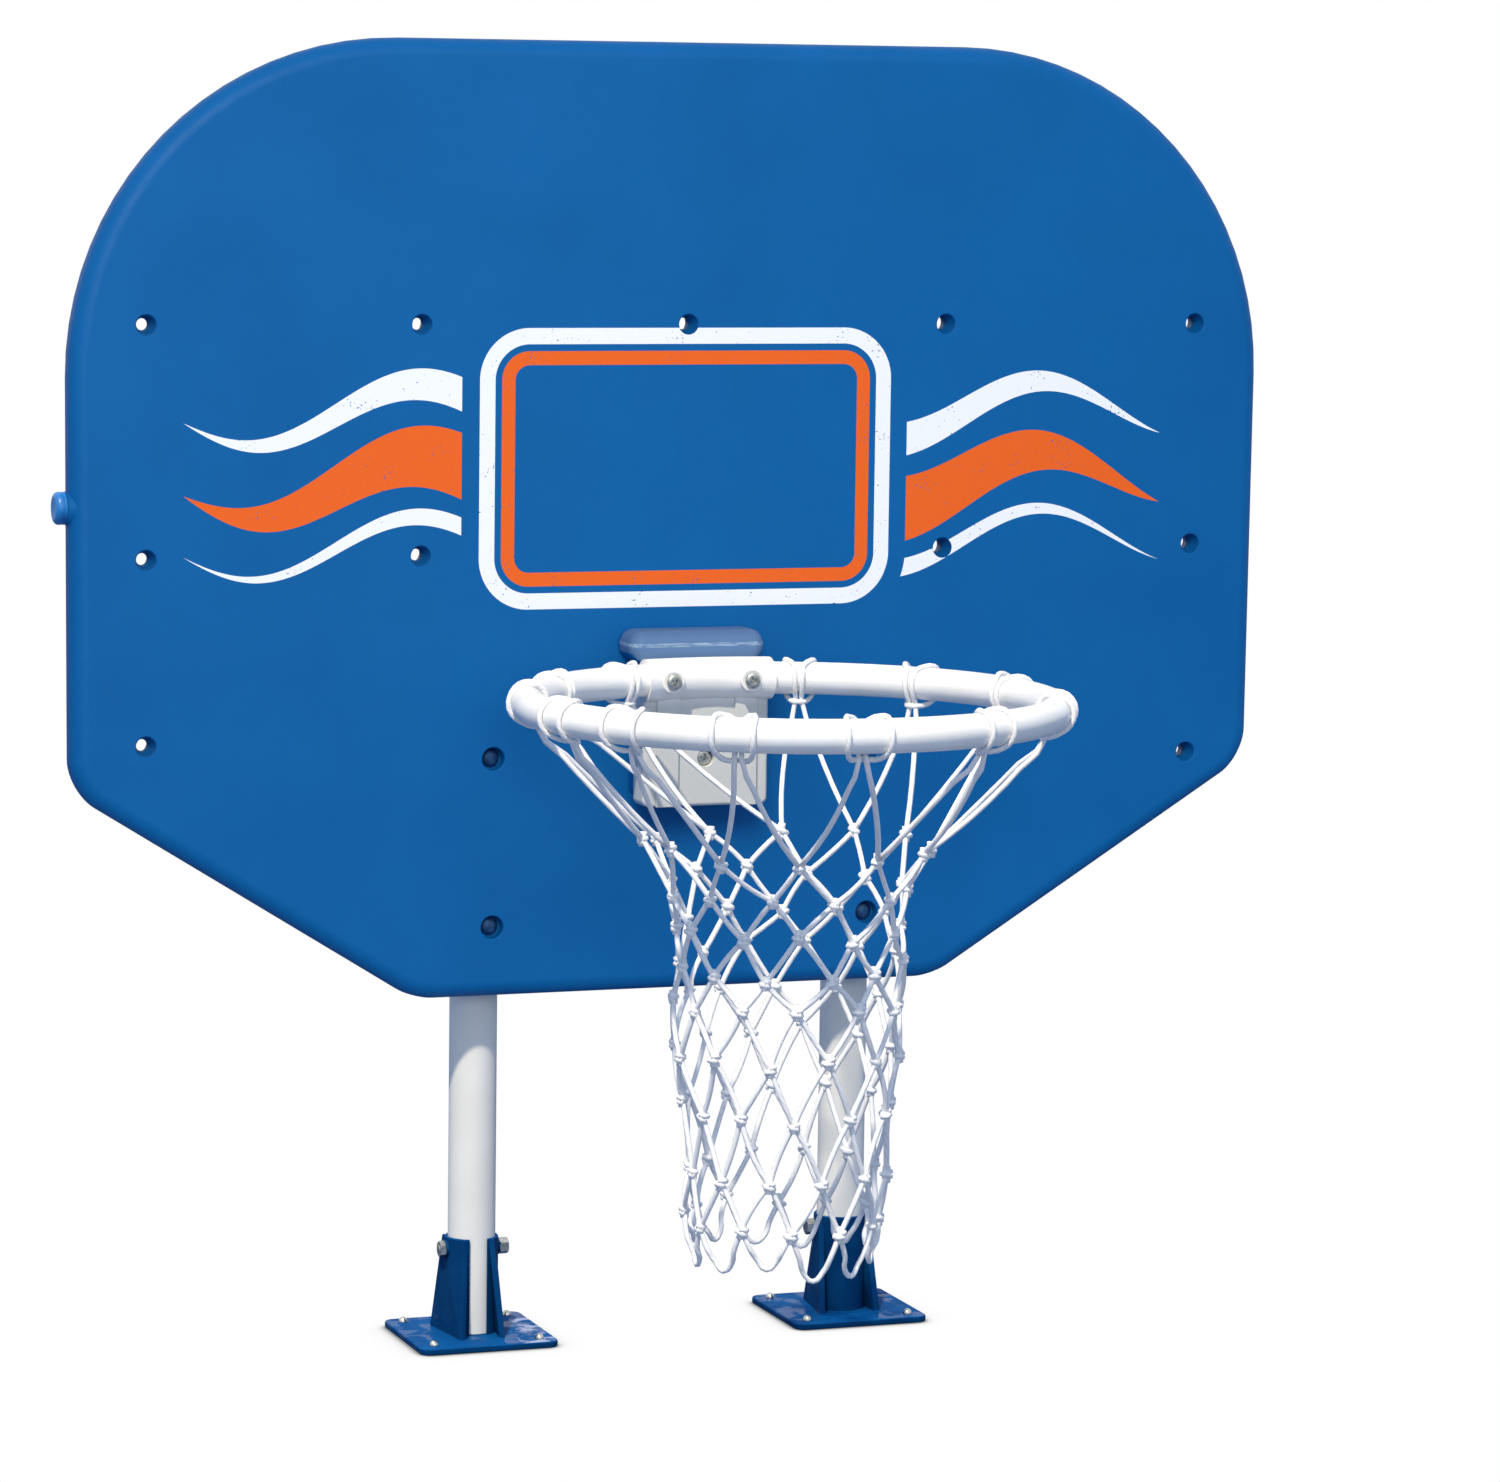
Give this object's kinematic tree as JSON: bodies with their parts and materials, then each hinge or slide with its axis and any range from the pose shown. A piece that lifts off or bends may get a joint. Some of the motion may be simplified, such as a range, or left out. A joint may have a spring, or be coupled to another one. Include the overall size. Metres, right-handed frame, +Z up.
{
  "type": "poolside basketball hoop",
  "caption": "Poolside basketball hoop: hollow moulded backboard with a tubular rim and knotted cord net, held on plastic pipes that stand in bolt-down deck sockets.",
  "frame": {"origin": "middle of the bottom of the bounding box, on the deck, in front of the two sockets and under the rim's back half", "axes": "+Z up; -Y towards the players, so the rim stands out towards -Y from the board's front face; +X to a player's right, so the side plug is on the -X edge"},
  "size_m": [1.1138, 0.6268, 1.145],
  "materials": {
    "board_blue": "rotomoulded polyethylene with a faint orange-peel satin",
    "socket_blue": "injection-moulded nylon, semi-gloss",
    "white_moulding": "injection-moulded plastic, satin",
    "white_tube": "smooth bent plastic tube, satin",
    "white_pipe": "extruded rigid plastic pipe, satin",
    "net_cord": "soft braided cord, knotted",
    "zinc_steel": "zinc-plated steel",
    "insert_brass": "plain brass",
    "seal_rubber": "black rubber ring"
  },
  "bodies": {
    "hoop": {"backboard": "board_blue", "rim_bracket": "white_moulding", "rim_ring": "white_tube", "net": "net_cord", "bracket_screw_upper_left": "zinc_steel", "bracket_screw_upper_right": "zinc_steel", "bracket_screw_lower": "zinc_steel", "threaded_insert_upper_left": "insert_brass", "threaded_insert_upper_right": "insert_brass", "threaded_insert_lower": "insert_brass", "board_bolt_left_low": "zinc_steel", "board_bolt_left_high": "zinc_steel", "board_bolt_right_low": "zinc_steel", "board_bolt_right_high": "zinc_steel", "pole_washer_left_low": "zinc_steel", "pole_washer_left_high": "zinc_steel", "pole_washer_right_low": "zinc_steel", "pole_washer_right_high": "zinc_steel", "board_nut_left_low": "zinc_steel", "board_nut_left_high": "zinc_steel", "board_nut_right_low": "zinc_steel", "board_nut_right_high": "zinc_steel", "pole_left": "white_pipe", "pole_right": "white_pipe", "pole_cap_left": "white_moulding", "pole_cap_right": "white_moulding", "deck_socket_left": "socket_blue", "deck_socket_right": "socket_blue", "cross_bolt_left": "zinc_steel", "cross_bolt_right": "zinc_steel", "cross_nut_left": "zinc_steel", "cross_nut_right": "zinc_steel"},
    "plug": {"side_plug": "board_blue", "plug_seal": "seal_rubber"}
  },
  "joints": [
    {"name": "plug_pull", "type": "slide", "parent": "hoop", "child": "plug", "axis": [-1, 0, 0], "range_m": [0, 0.022]}
  ]
}
